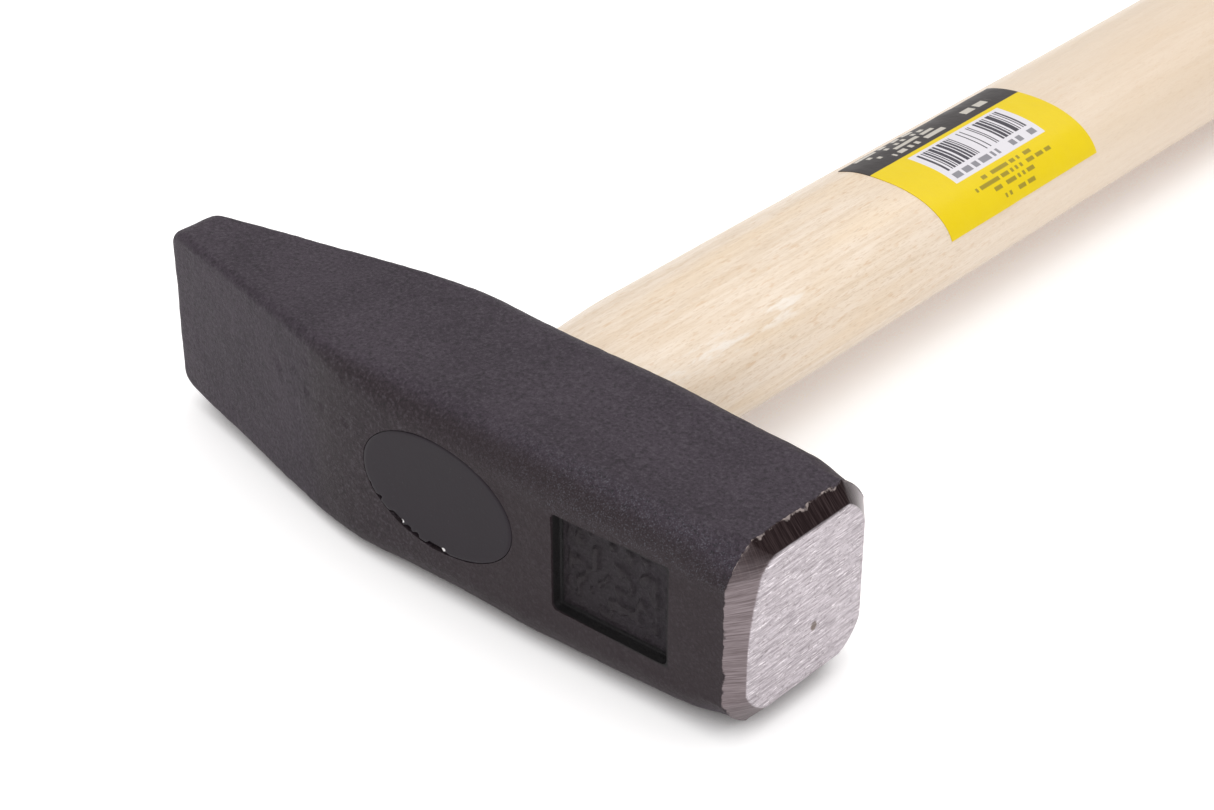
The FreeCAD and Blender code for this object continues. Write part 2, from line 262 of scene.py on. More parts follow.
def face_rings():
    """Sections from near the striking face's middle, over its edge and along the chamfer."""
    rings = []
    half = HALF_FACE - CHAMFER_INSET
    outline = rounded_section(half, half, half, half, FACE_CORNER, FACE_FLATNESS, FACE_SHARP_CORNER)
    outline = [lean_in(y, z, half, 1.0) for y, z in outline]
    for share in (0.03, 0.35, 0.7, 0.93):
        rings.append([(FACE_X, y * share, z * share) for y, z in outline])
    for step in range(CHAMFER_RINGS):
        share = step / CHAMFER_RINGS
        half = HALF_FACE - CHAMFER_INSET * (1 - share)
        corner = FACE_CORNER + (BODY_CORNER - FACE_CORNER) * share
        flatness = FACE_FLATNESS + (BODY_FLATNESS - FACE_FLATNESS) * share
        sharp_corner = FACE_SHARP_CORNER + (1 - FACE_SHARP_CORNER) * share
        ring = rounded_section(half, half, half, half, corner, flatness, sharp_corner)
        ring = [lean_in(y, z, half, 1 - share) for y, z in ring]
        rings.append([(FACE_X - CHAMFER_LENGTH * share, y, z) for y, z in ring])
    return rings


def body_rings():
    """Sections from the chamfer to the middle of the peen's edge."""
    stations = [(x, 0.0) for x in spread(CHAMFER_X, PEEN_X + NOSE, BODY_RINGS)]
    for angle in spread(0, math.pi / 2, NOSE_RINGS)[1:]:
        stations.append((PEEN_X + NOSE * (1 - math.sin(angle)), NOSE * (1 - math.cos(angle))))
    rings = []
    for x, inset in stations:
        reach = min(max(PEEN_X + NOSE_ENDS - x, 0) / NOSE_ENDS, 1)
        ends_inset = NOSE_ENDS * (1 - math.sqrt(1 - reach ** 2))
        sides = [bent_line(x, profile) - inset for profile in (FRONT_PROFILE, BACK_PROFILE)]
        sides += [bent_line(x, profile) - ends_inset for profile in (TOP_PROFILE, UNDER_PROFILE)]
        corner = min(bent_line(x, CORNER_PROFILE), WIDEST_CORNER * min(sides))
        flatness = BODY_FLATNESS * smooth_step(CHAMFER_X - CUT_CORNER_LENGTH, CHAMFER_X, x)
        rings.append([(x, y, z) for y, z in rounded_section(*sides, corner, flatness)])
    rings.append([(x, y * 0.4, z) for x, y, z in rings[-1]])
    return rings


def forged_dent(point):
    """How far the forged skin lies below its ideal surface, in millimetres."""
    pitted = smooth_step(0.0, 0.3, rough(point, 16, 20.0))
    pit = PIT_DEPTH * smooth_step(0.42, 0.62, rough(point, 2.2, 12.0)) * pitted
    ground = smooth_step(CHAMFER_X - 1.2, CHAMFER_X - 0.1, point[0])
    dent = SKIN_LEVEL + layered(point, SKIN_WAVES) + layered(point, SKIN_GRIT) + pit
    return max(dent, 0.0) * (1 - ground)


def forge(rings):
    """Lowers each point of the head's skin towards its middle by the forged dent."""
    forged = []
    for ring in rings:
        new_ring = []
        for index, (x, y, z) in enumerate(ring):
            before = ring[index - 1]
            after = ring[(index + 1) % len(ring)]
            outward = Vector((0, after[2] - before[2], before[1] - after[1])).normalized()
            if outward.dot(Vector((0, y, z))) < 0:
                outward = -outward
            dent = forged_dent((x, y, z))
            forward = dent if x < PEEN_X + 0.5 * NOSE else 0.0
            new_ring.append((x + forward, y - outward.y * dent, z - outward.z * dent + HEAD_Z))
        forged.append(new_ring)
    return forged


# The eye's length and width at the front mouth, in the middle of the head and at the handle's mouth.
EYE_GAP = 0.06
EYE_TOP = (SEAL_HIGH.x - SEAL_LOW.x + 2 * EYE_GAP, SEAL_HIGH.z - SEAL_LOW.z + 2 * EYE_GAP)
EYE_WAIST = (22.8, 13.8)
EYE_FOOT = (24.4, 15.0)
EYE_POINTS = 160


def eye_size(y):
    """Length and width of the eye at a depth: narrow in the middle, wider at both mouths."""
    mouth = EYE_TOP if y < 0 else EYE_FOOT
    share = abs(y) / HEAD_FRONT
    return [waist + (end - waist) * share for waist, end in zip(EYE_WAIST, mouth)]


def ellipse_ring(y, length, width):
    angles = [2 * math.pi * step / EYE_POINTS for step in range(EYE_POINTS)]
    return [(length / 2 * math.cos(angle), y, EYE_Z + width / 2 * math.sin(angle)) for angle in angles]


def eye_cutter():
    """A plug the shape of the eye, a little longer than the head is deep."""
    depths = (-HEAD_FRONT - 1, -HEAD_FRONT * 0.5, 0, HEAD_FRONT * 0.5, HEAD_FRONT + 1)
    return make_piece("eye_cutter", *skin([ellipse_ring(y, *eye_size(y)) for y in depths]))


# The recessed panel on the head's front. Its walls are (depth, how far they have drawn in).
STAMP_X = (20.2, 39.0)
STAMP_RISE = 0.5
STAMP_HALF_Z = 7.4
STAMP_Z = (HEAD_Z + STAMP_RISE - STAMP_HALF_Z, HEAD_Z + STAMP_RISE + STAMP_HALF_Z)
STAMP_DEPTH = 1.7
STAMP_CORNER = 0.9
STAMP_WALLS = [(-3.0, -0.25), (0.0, 0.0), (0.5 * STAMP_DEPTH, 0.12), (0.9 * STAMP_DEPTH, 0.25),
               (STAMP_DEPTH, 0.45)]
STAMP_FLOOR_RINGS = 44
STAMP_SPACING = 0.5
STAMP_GRIT = 0.10
STAMP_MARK_HEIGHT = 0.42


def stamp_outline(inset):
    """The panel's rounded outline in (x, z) around its own middle."""
    half_x = (STAMP_X[1] - STAMP_X[0]) / 2
    half_z = (STAMP_Z[1] - STAMP_Z[0]) / 2
    ring = []
    for side_x, side_z, start in ((1, -1, -90), (1, 1, 0), (-1, 1, 90), (-1, -1, 180)):
        for step in range(6):
            angle = math.radians(start + 15 * step + 7.5)
            ring.append((side_x * (half_x - STAMP_CORNER) + STAMP_CORNER * math.cos(angle),
                         side_z * (half_z - STAMP_CORNER) + STAMP_CORNER * math.sin(angle)))
    return [(x * (1 - inset / half_x), z * (1 - inset / half_z)) for x, z in densify(ring, STAMP_SPACING)]


def stamp_relief(x, z, scale):
    """Height of the panel's floor: grit, and shapeless raised marks that stop short of the walls."""
    mark = smooth_step(0.0, 0.30, rough((x * 1.4, 3, z), 1.9, 9.0))
    inner = 1 - smooth_step(0.80, 0.93, scale)
    return STAMP_GRIT * rough((x, 0, z), 1.0, 4.0) + STAMP_MARK_HEIGHT * mark * inner


def stamp_cutter():
    """A rounded panel with a rough floor that follows the head's taper."""
    middle_x = sum(STAMP_X) / 2
    middle_z = sum(STAMP_Z) / 2
    rings = []
    for depth, inset in STAMP_WALLS:
        rings.append([(middle_x + x, depth - bent_line(middle_x + x, FRONT_PROFILE), middle_z + z)
                      for x, z in stamp_outline(inset)])
    floor_outline = stamp_outline(STAMP_WALLS[-1][1])
    for scale in spread(0.97, 0.03, STAMP_FLOOR_RINGS):
        ring = []
        for x, z in floor_outline:
            floor_x = middle_x + x * scale
            floor_z = middle_z + z * scale
            depth = STAMP_DEPTH - stamp_relief(floor_x, floor_z, scale)
            ring.append((floor_x, depth - bent_line(floor_x, FRONT_PROFILE), floor_z))
        rings.append(ring)
    return make_piece("stamp_cutter", *skin(rings))


def build_head():
    head = make_piece("forged_head", *skin(forge(face_rings() + body_rings())))
    cut(head, eye_cutter())
    cut(head, stamp_cutter(), PANEL_SHARP_ANGLE)
    dress(head, head_material())
    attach(head, "root")
    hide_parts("head")


# ---------------------------------------------------------------- eye seal

# The seal's front, as (share of its half size, how far it is dished there).
SEAL_DISH = [(0.02, 0.10), (0.3, 0.10), (0.6, 0.08), (0.85, 0.06), (0.95, 0.05), (0.985, 0.06), (1.0, 0.13)]
SEAL_RECESS = 0.12
SEAL_WALL = 0.7
SEAL_BACK_GAP = 0.02
SEAL_POINTS = 288
CHIP_DEPTH = 0.62
RIM_GAP = 0.05


def seal_ring(share, y):
    """A ring of the seal. Its rim is chipped between the 200 and 280 degree marks, at its lower left."""
    half_length = (SEAL_HIGH.x - SEAL_LOW.x) / 2
    half_width = (SEAL_HIGH.z - SEAL_LOW.z) / 2
    ring = []
    for step in range(SEAL_POINTS):
        angle = 2 * math.pi * step / SEAL_POINTS
        turn = math.degrees(angle)
        point = (half_length * math.cos(angle), 0, half_width * math.sin(angle))
        chipped = smooth_step(200, 206, turn) * (1 - smooth_step(272, 280, turn))
        chip = chipped * smooth_step(-0.15, 0.2, rough(point, 1.1, 2.0)) * CHIP_DEPTH + RIM_GAP
        reach = share - chip * smooth_step(0.9, 1.0, share) / half_width
        ring.append((point[0] * reach, y, EYE_Z + point[2] * reach))
    return ring


def build_seal():
    """Resin plug, poured nearly flush and a little dished, with a chipped rim along its lower left."""
    rings = [seal_ring(share, SEAL_LOW.y + drop + SEAL_RECESS) for share, drop in SEAL_DISH]
    rings.append(seal_ring(1.0, SEAL_LOW.y + SEAL_WALL))
    rings.append(seal_ring(0.97, SEAL_HIGH.y - SEAL_BACK_GAP))
    rings.append(seal_ring(0.02, SEAL_HIGH.y - SEAL_BACK_GAP))
    seal = make_piece("resin_seal", *skin(rings), PLAIN_SHARP_ANGLE)
    dress(seal, seal_material())
    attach(seal, "root")
    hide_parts("eye_seal")


# ---------------------------------------------------------------- handle

# The handle's half sizes along Y, as (y, size, reach of the bend there).
HALF_X_PROFILE = [(HEAD_FRONT, 13.7, 0), (45, 13.95, 15), (150, 13.35, 50), (BUTT_Y - 30, 14.45, 40),
                  (BUTT_Y, 14.0, 0)]
HALF_Z_PROFILE = [(HEAD_FRONT, 9.1, 0), (45, 9.1, 15), (150, 9.15, 50), (BUTT_Y - 30, 10.15, 40),
                  (BUTT_Y, 9.8, 0)]
OVALNESS = 2.34
HANDLE_HALVES = (13.9, 9.1)     # typical half sizes, for spacing points around the handle
BUTT_ROUNDING = 5.0
BUTT_RINGS = 8
SHOULDER_DROP = 1.1
SHOULDER_LENGTH = 16
SHAFT_POINTS = 176
SHAFT_RINGS = 190
TENON_RINGS = 9


def oval_point(angle, half_x, half_z):
    """A point of a flat-sided oval, at the given angle parameter."""
    across = math.cos(angle)
    up = math.sin(angle)
    x = math.copysign(abs(across) ** (2 / OVALNESS), across) * half_x
    z = math.copysign(abs(up) ** (2 / OVALNESS), up) * half_z
    return x, z


def running_lengths(angles, half_x, half_z):
    """Distance around the oval from its first angle to each of the angles."""
    places = [oval_point(angle, half_x, half_z) for angle in angles]
    lengths = [0.0]
    for first, last in zip(places, places[1:]):
        lengths.append(lengths[-1] + math.dist(first, last))
    return lengths


def even_angles(count):
    """Angle parameters that space the points of the handle's oval evenly."""
    fine = 3600
    lengths = running_lengths([2 * math.pi * step / fine for step in range(fine + 1)], *HANDLE_HALVES)
    angles = []
    index = 0
    for step in range(count):
        target = lengths[-1] * step / count
        while lengths[index + 1] < target:
            index += 1
        angles.append(2 * math.pi * index / fine)
    return angles


def shaft_ring(y, angles, inset=0.0, reach=0.0):
    """A section of the handle. Its side nearest the peen drops a little towards the eye."""
    half_x = bent_line(y, HALF_X_PROFILE) - inset + reach
    half_z = bent_line(y, HALF_Z_PROFILE) - inset + reach
    shoulder = SHOULDER_DROP * (1 - smooth_step(HEAD_FRONT, HEAD_FRONT + SHOULDER_LENGTH, y))
    ring = []
    for angle in angles:
        x, z = oval_point(angle, half_x, half_z)
        if x < 0:
            x *= 1 - shoulder / half_x
        wave = 0.05 * rough((x, y / 4, z), 5, 2.0) + 0.03 * rough((x, y, z), 3, 7.0)
        ring.append((x * (1 + wave / 12), y, EYE_Z + z * (1 + wave / 12)))
    return ring


def shrunk(ring, share, y):
    """A ring drawn in towards the handle's middle line, at another place along it."""
    return [(x * share, y, EYE_Z + (z - EYE_Z) * share) for x, _, z in ring]


def tenon_ring(y, angles):
    """A section of the tenon, which fills the eye."""
    length, width = eye_size(y)
    return [(length / 2 * math.cos(angle) - EYE_GAP * math.cos(angle), y,
             EYE_Z + (width / 2 - EYE_GAP) * math.sin(angle)) for angle in angles]


def build_handle():
    """Shaft with a rounded butt, and the tenon with its kerfs for the wedges."""
    angles = even_angles(SHAFT_POINTS)
    rings = [shrunk(shaft_ring(HEAD_FRONT, angles), 0.03, TENON_FRONT)]
    rings += [tenon_ring(y, angles) for y in spread(TENON_FRONT, HEAD_FRONT - 0.02, TENON_RINGS)]
    rings.append(shaft_ring(HEAD_FRONT + 0.05, angles, 0.45))
    shaft = spread(HEAD_FRONT + 0.35, BUTT_Y - BUTT_ROUNDING, SHAFT_RINGS)
    rings += [shaft_ring(y, angles) for y in shaft]
    for step in range(1, BUTT_RINGS + 1):
        angle = math.pi / 2 * step / BUTT_RINGS
        inset = BUTT_ROUNDING * (1 - math.cos(angle))
        rings.append(shaft_ring(BUTT_Y - BUTT_ROUNDING * (1 - math.sin(angle)), angles, inset))
    butt = rings[-1]
    rings += [shrunk(butt, share, butt[0][1]) for share in (0.7, 0.4, 0.1)]
    handle = make_piece("turned_handle", *skin(rings), PLAIN_SHARP_ANGLE)
    for wedge in ("wood_wedge", "steel_wedge"):
        cutter = bpy.data.objects.new(f"{wedge}_cutter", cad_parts[wedge].data.copy())
        bpy.context.scene.collection.objects.link(cutter)
        cut(handle, cutter, PLAIN_SHARP_ANGLE)
    dress(handle, wood_material("lacquered_wood", lacquer=True))
    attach(handle, "root")
    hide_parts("handle")


# ---------------------------------------------------------------- label

# The label's edges, as distances around the handle from its side nearest the striking face.
LABEL_FROM = 3.5
LABEL_TO = 27.4
FILM_TOP = 0.14
FILM_UNDER = 0.02
LABEL_POINTS = 720
LABEL_ROWS = 60
LABEL_HALVES = (13.8, 9.2)      # the handle's half sizes under the label


def film_lift(point, edge):
    """How far the film's upper face stands off: small blisters, less a rounding towards its edges."""
    blister = 0.05 * smooth_step(0.25, 0.6, rough(point, 6, 15.0))
    return blister - 0.03 * (1 - smooth_step(0, 0.3, edge))


def film_points(kept, rows):
    """Points of the film's upper face, then of its underside, and the flat place of each."""
    points = []
    flat = []
    for layer in (FILM_TOP, FILM_UNDER):
        for y in rows:
            ring = shaft_ring(y, [angle for angle, _ in kept], 0.0, layer)
            for (_, place), (x, _, z) in zip(kept, ring):
                edge = min(place - LABEL_FROM, LABEL_TO - place, y - LABEL_LOW.y, LABEL_HIGH.y - y)
                lift = film_lift((x, y, z), edge) if layer == FILM_TOP else 0.0
                out = Vector((x, 0, z - EYE_Z)).normalized() * lift
                points.append((x + out.x, y, z + out.z))
                flat.append((place, y - LABEL_LOW.y))
    return points, flat


def film_faces(wide, high):
    """Faces of the film's two sides and of the rim between them."""
    size = wide * high
    faces = []
    for row in range(high - 1):
        for column in range(wide - 1):
            first = row * wide + column
            quad = (first, first + 1, first + wide + 1, first + wide)
            faces.append(quad)
            faces.append(tuple(size + index for index in reversed(quad)))
    rim = list(range(wide))
    rim += [row * wide + wide - 1 for row in range(1, high)]
    rim += [(high - 1) * wide + column for column in range(wide - 2, -1, -1)]
    rim += [row * wide for row in range(high - 2, 0, -1)]
    for first, last in zip(rim, rim[1:] + rim[:1]):
        faces.append((last, first, first + size, last + size))
    return faces


def build_label():
    """Film bent over the handle's top, with flat UVs in millimetres for the print."""
    angles = even_angles(LABEL_POINTS)
    places = running_lengths(angles, *LABEL_HALVES)
    kept = [(angle, place) for angle, place in zip(angles, places) if LABEL_FROM <= place <= LABEL_TO]
    rows = spread(LABEL_LOW.y, LABEL_HIGH.y, LABEL_ROWS)
    points, flat = film_points(kept, rows)
    label = make_piece("printed_label", points, film_faces(len(kept), len(rows)), PLAIN_SHARP_ANGLE)
    layer = label.data.uv_layers.new(name="print")
    for loop in label.data.loops:
        layer.data[loop.index].uv = flat[loop.vertex_index]
    dress(label, label_material())
    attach(label, "root")
    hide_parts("label")


# ---------------------------------------------------------------- material tools

class Graph:
    """A material's nodes, made by short calls that return output sockets."""

    def __init__(self, name):
        self.material = bpy.data.materials.new(name)
        self.material.use_nodes = True
        self.nodes = self.material.node_tree.nodes
        self.links = self.material.node_tree.links
        self.shader = self.nodes["Principled BSDF"]
        self.place = self.add("ShaderNodeTexCoord").outputs["Object"]

    def add(self, kind, **settings):
        node = self.nodes.new(kind)
        for key, value in settings.items():
            setattr(node, key, value)
        return node

    def feed(self, socket, value):
        """Links a socket, or sets a constant."""
        if isinstance(value, bpy.types.NodeSocket):
            self.links.new(value, socket)
        else:
            socket.default_value = value

    def surface(self, **inputs):
        """Feeds the shader's own inputs, with underscores for the spaces in their names."""
        for name, value in inputs.items():
            self.feed(self.shader.inputs[name.replace("_", " ")], value)

    def maths(self, operation, first, second=0.0):
        node = self.add("ShaderNodeMath", operation=operation)
        self.feed(node.inputs[0], first)
        self.feed(node.inputs[1], second)
        return node.outputs[0]

    def times(self, first, *others):
        for other in others:
            first = self.maths("MULTIPLY", first, other)
        return first

    def mix(self, share, first, second):
        """A colour between two colours."""
        node = self.add("ShaderNodeMix", data_type="RGBA")
        self.feed(node.inputs["Factor"], share)
        colour_inputs = [socket for socket in node.inputs if socket.type == "RGBA"]
        self.feed(colour_inputs[0], first)
        self.feed(colour_inputs[1], second)
        return [socket for socket in node.outputs if socket.type == "RGBA"][0]

    def tint(self, colour, other, share, strength):
        """The colour, with the other laid over it at the given strength where the share is 1."""
        return self.mix(self.times(share, strength), colour, other)

    def blend(self, share, first, second):
        """A number between two numbers."""
        node = self.add("ShaderNodeMapRange")
        self.feed(node.inputs["Value"], share)
        self.feed(node.inputs["To Min"], first)
        self.feed(node.inputs["To Max"], second)
        return node.outputs[0]

    def step(self, value, low, high):
        """0 at low, 1 at high, smooth between and constant beyond. Low may be the larger of the two."""
        node = self.add("ShaderNodeMapRange", interpolation_type="SMOOTHSTEP")
        self.feed(node.inputs["Value"], value)
        self.feed(node.inputs["From Min"], low)
        self.feed(node.inputs["From Max"], high)
        return node.outputs[0]

    def reach(self, value, low, high):
        """A step of a length, between two lengths in millimetres."""
        return self.step(value, low * MM, high * MM)

    def stretched(self, *scale, tilt=0):
        """Object coordinates in features per millimetre along each axis, tilted about X by degrees."""
        node = self.add("ShaderNodeMapping", vector_type="POINT")
        self.feed(node.inputs["Vector"], self.place)
        node.inputs["Scale"].default_value = [value / MM for value in scale]
        node.inputs["Rotation"].default_value = (math.radians(tilt), 0, 0)
        return node.outputs[0]

    def noise(self, vector, detail=3, roughness=0.55):
        node = self.add("ShaderNodeTexNoise")
        self.feed(node.inputs["Vector"], vector)
        node.inputs["Scale"].default_value = 1.0
        node.inputs["Detail"].default_value = detail
        node.inputs["Roughness"].default_value = roughness
        return node.outputs["Fac"]

    def even_noise(self, scale, detail=3, roughness=0.55):
        """Noise with the same number of features per millimetre along each axis."""
        return self.noise(self.stretched(scale, scale, scale), detail, roughness)

    def near(self, place, reach):
        """1 at a place, falling to 0 at the given reach along each axis, in millimetres."""
        offset = self.add("ShaderNodeVectorMath", operation="SUBTRACT")
        self.feed(offset.inputs[0], self.place)
        offset.inputs[1].default_value = [value * MM for value in place]
        scaled = self.add("ShaderNodeVectorMath", operation="DIVIDE")
        self.links.new(offset.outputs[0], scaled.inputs[0])
        scaled.inputs[1].default_value = [value * MM for value in reach]
        length = self.add("ShaderNodeVectorMath", operation="LENGTH")
        self.links.new(scaled.outputs[0], length.inputs[0])
        return self.step(length.outputs["Value"], 1.0, 0.55)

    def split(self, vector):
        node = self.add("ShaderNodeSeparateXYZ")
        self.feed(node.inputs[0], vector)
        return node.outputs

    def bump(self, height, distance, strength):
        """A normal from a height, whose full step is the distance in millimetres."""
        node = self.add("ShaderNodeBump")
        self.feed(node.inputs["Height"], height)
        node.inputs["Distance"].default_value = distance * MM
        node.inputs["Strength"].default_value = strength
        return node.outputs[0]


# ---------------------------------------------------------------- head's material

PAINT_DARK = (0.030, 0.0195, 0.0305, 1)
PAINT_LIGHT = (0.040, 0.0275, 0.0405, 1)
# Painted shade: the front face is painted darker and browner than the top cheek.
FRONT_PAINTED_SHADE = (0.0215, 0.0125, 0.0160, 1)
GRIT_PALE = (0.078, 0.066, 0.079, 1)
GRIT_DARK = (0.006, 0.0045, 0.006, 1)
EDGE_SPECK = (0.15, 0.155, 0.185, 1)
# Painted shade in the recessed panel on the front.
PANEL_PAINTED_SHADE = (0.003, 0.0025, 0.003, 1)
PAINT_ROUGHNESS = 0.62

FACE_DARK = (0.30, 0.265, 0.285, 1)
FACE_LIGHT = (0.62, 0.57, 0.605, 1)
SCRATCH_BRIGHT = (0.96, 0.91, 0.94, 1)
SCRATCH_DARK = (0.13, 0.11, 0.12, 1)
SPOT = (0.14, 0.11, 0.11, 1)
FINE_SPOT = (0.11, 0.085, 0.085, 1)
FACE_PIT = (0.10, 0.065, 0.035, 1)
FACE_PIT_PLACE = (FACE_X, 1.6, 11.3)
FACE_PIT_REACH = (9, 0.75, 0.85)
CHAMFER_DARK = (0.135, 0.108, 0.112, 1)
CHAMFER_LIGHT = (0.27, 0.228, 0.238, 1)
# Painted reflections on the chamfers: pale where they face back, dark with lines where they face up.
CHAMFER_BACK_REFLECTION = (0.46, 0.42, 0.435, 1)
CHAMFER_UP_REFLECTION_DARK = (0.022, 0.013, 0.014, 1)
CHAMFER_UP_REFLECTION_LIGHT = (0.072, 0.050, 0.051, 1)
BURR = (0.52, 0.44, 0.42, 1)


def head_material():
    """Gritty black forging paint, worn to bare ground steel on the striking face and its chamfers."""
    graph = Graph("forged_paint_and_ground_steel")
    x, y, z = graph.split(graph.place)
    ragged = graph.noise(graph.stretched(0.4, 0.5, 0.5), 3, 0.6)
    shift = graph.times(graph.maths("SUBTRACT", ragged, 0.5), 1.3 * MM)
    edge = graph.maths("ADD", x, shift)
    bare = graph.reach(edge, CHAMFER_X - 0.14, CHAMFER_X + 0.06)
    on_face = graph.reach(x, FACE_X - 0.22, FACE_X - 0.04)
    paint, paint_height = painted_skin(graph, x, y, z)
    steel, steel_height, streak = ground_steel(graph, edge, on_face)
    steel_roughness = graph.blend(streak, 0.32, 0.48)
    height = graph.blend(bare, paint_height, steel_height)
    graph.surface(Base_Color=graph.mix(bare, paint, steel), Metallic=bare, Specular_IOR_Level=0.32,
                  Roughness=graph.blend(bare, PAINT_ROUGHNESS, steel_roughness),
                  Normal=graph.bump(height, 0.22, 1.0))
    return graph.material


def painted_skin(graph, x, y, z):
    """Colour and height of the forging paint: fine grit, soft blotches, pale specks on the rounded edge,
    painted shade that makes the front face darker and browner than the top, and painted shade in the recessed
    panel, darkest on its walls.
    """
    grit = graph.even_noise(2.0, 4, 0.75)
    coarse = graph.even_noise(0.8, 4, 0.6)
    blotch = graph.even_noise(0.09, 3, 0.5)
    front = graph.reach(y, -11.5, -13.5)
    near_face = graph.reach(x, -12, 14)
    paint = graph.mix(graph.step(blotch, 0.35, 0.65), PAINT_DARK, PAINT_LIGHT)
    # Painted shade: the front face is darker and browner than the top.
    paint = graph.tint(paint, FRONT_PAINTED_SHADE, front, graph.blend(near_face, 0.85, 1.0))
    calm = graph.maths("SUBTRACT", 1.0, graph.times(front, near_face, 0.6))
    paint = graph.tint(paint, GRIT_PALE, graph.step(grit, 0.50, 0.66), graph.times(calm, 0.62))
    paint = graph.tint(paint, GRIT_DARK, graph.step(grit, 0.49, 0.36), graph.times(calm, 0.72))
    rounded = graph.times(graph.reach(y, -9.0, -11.0), graph.reach(z, 21.5, 24.5), graph.reach(x, -6, 30))
    glitter = graph.step(graph.even_noise(5.0, 2, 0.6), 0.52, 0.70)
    paint = graph.tint(paint, EDGE_SPECK, graph.times(glitter, rounded), 0.42)
    # Painted shade in the recessed panel: darkest on its walls, lighter on its floor.
    walls = graph.times(panel_mask(graph, x, y, z, 0.0), 0.95)
    floor = graph.times(panel_mask(graph, x, y, z, 0.9), 0.45)
    paint = graph.mix(graph.maths("SUBTRACT", walls, floor), paint, PANEL_PAINTED_SHADE)
    height = graph.maths("ADD", graph.times(grit, 0.7), graph.times(coarse, 0.6))
    return paint, graph.times(height, graph.blend(calm, 0.55, 1.0))


def panel_mask(graph, x, y, z, margin):
    """1 inside the head's recessed panel and more than the margin from its outline, 0 elsewhere."""
    soft = 0.3
    mask = graph.times(graph.reach(y, -14.1, -13.8), graph.reach(y, -11.0, -11.6))
    for value, (low, high) in ((x, STAMP_X), (z, STAMP_Z)):
        past_low = graph.reach(value, low + margin - soft, low + margin)
        before_high = graph.reach(value, high - margin + soft, high - margin)
        mask = graph.times(mask, past_low, before_high)
    return mask


def ground_steel(graph, edge, on_face):
    """Colour and height of the ground end: streaks over the face, lines across the chamfers, a ragged burr,
    and painted reflections on the chamfers: pale where they face back, dark where they face up.
    """
    streak = graph.noise(graph.stretched(0.3, 0.16, 3.0, tilt=8), 6, 0.8)
    face = striking_face(graph, streak)

    across = graph.noise(graph.stretched(0.15, 5.0, 0.15), 3, 0.8)
    upright = graph.noise(graph.stretched(0.15, 0.15, 5.0), 3, 0.8)
    normal = graph.split(graph.add("ShaderNodeNewGeometry").outputs["Normal"])
    faces_up = graph.step(normal[2], 0.12, 0.62)
    faces_back = graph.step(normal[1], 0.0, 0.35)
    side = graph.mix(graph.step(upright, 0.32, 0.68), CHAMFER_DARK, CHAMFER_LIGHT)
    # Painted reflection: chamfers that face back are painted pale.
    side = graph.mix(faces_back, side, CHAMFER_BACK_REFLECTION)
    # Painted reflection: chamfers that face up are painted dark, with lines across them.
    top = graph.mix(graph.step(across, 0.38, 0.72), CHAMFER_UP_REFLECTION_DARK, CHAMFER_UP_REFLECTION_LIGHT)
    steel = graph.mix(on_face, graph.mix(faces_up, side, top), face)

    distance = graph.maths("ABSOLUTE", graph.maths("SUBTRACT", edge, (CHAMFER_X + 0.04) * MM))
    patchy = graph.step(graph.even_noise(0.7, 4), 0.42, 0.60)
    burr = graph.times(graph.reach(distance, 0.15, 0.05), patchy, graph.step(normal[2], 0.40, 0.60))
    steel = graph.tint(steel, BURR, burr, 0.85)
    lines = graph.blend(faces_up, upright, across)
    height = graph.times(graph.blend(on_face, lines, streak), graph.blend(on_face, 0.12, 0.35))
    return steel, height, streak


def striking_face(graph, streak):
    """Colour of the striking face: streaks, scratches, rust spots and one pit."""
    scratch = graph.noise(graph.stretched(0.3, 0.42, 5.5, tilt=11), 3, 0.7)
    spots = graph.even_noise(1.7, 3, 0.65)
    fine_spots = graph.even_noise(3.2, 2, 0.6)
    face = graph.mix(graph.step(streak, 0.34, 0.64), FACE_DARK, FACE_LIGHT)
    face = graph.tint(face, SCRATCH_BRIGHT, graph.step(scratch, 0.56, 0.66), 0.85)
    face = graph.tint(face, SCRATCH_DARK, graph.step(scratch, 0.42, 0.32), 0.65)
    face = graph.tint(face, SPOT, graph.step(spots, 0.58, 0.68), 0.42)
    face = graph.tint(face, FINE_SPOT, graph.step(fine_spots, 0.62, 0.70), 0.5)
    return graph.tint(face, FACE_PIT, graph.near(FACE_PIT_PLACE, FACE_PIT_REACH), 0.75)


# ---------------------------------------------------------------- other materials

RESIN_DARK = (0.011, 0.0065, 0.011, 1)
RESIN_LIGHT = (0.018, 0.012, 0.018, 1)
RESIN_DUST = (0.08, 0.075, 0.08, 1)
# Painted highlights: two white glints painted on the resin at its chipped rim.
SEAL_PAINTED_GLINT = (0.95, 0.93, 0.92, 1)
PAINTED_GLINT_PLACES = [(-6.5, SEAL_LOW.y, 9.5), (1.1, SEAL_LOW.y, 8.4)]
PAINTED_GLINT_REACH = (0.42, 0.9, 0.32)

WOOD_DARK = (0.76, 0.61, 0.455, 1)
WOOD_LIGHT = (0.86, 0.735, 0.605, 1)
WOOD_WARM = (0.86, 0.66, 0.43, 1)
WOOD_FIBRE = (0.60, 0.45, 0.31, 1)
WOOD_FLECK = (0.66, 0.42, 0.22, 1)
WOOD_PORE = (0.60, 0.43, 0.27, 1)
WOOD_PALE = (0.88, 0.78, 0.655, 1)
WOOD_TOWARDS_BUTT = (0.75, 0.595, 0.445, 1)
# Painted highlight colour for the streaks along the handle's upper edge.
LACQUER_PAINTED_HIGHLIGHT = (0.93, 0.89, 0.84, 1)

STEEL_DARK = (0.35, 0.35, 0.35, 1)
STEEL_LIGHT = (0.5, 0.5, 0.5, 1)


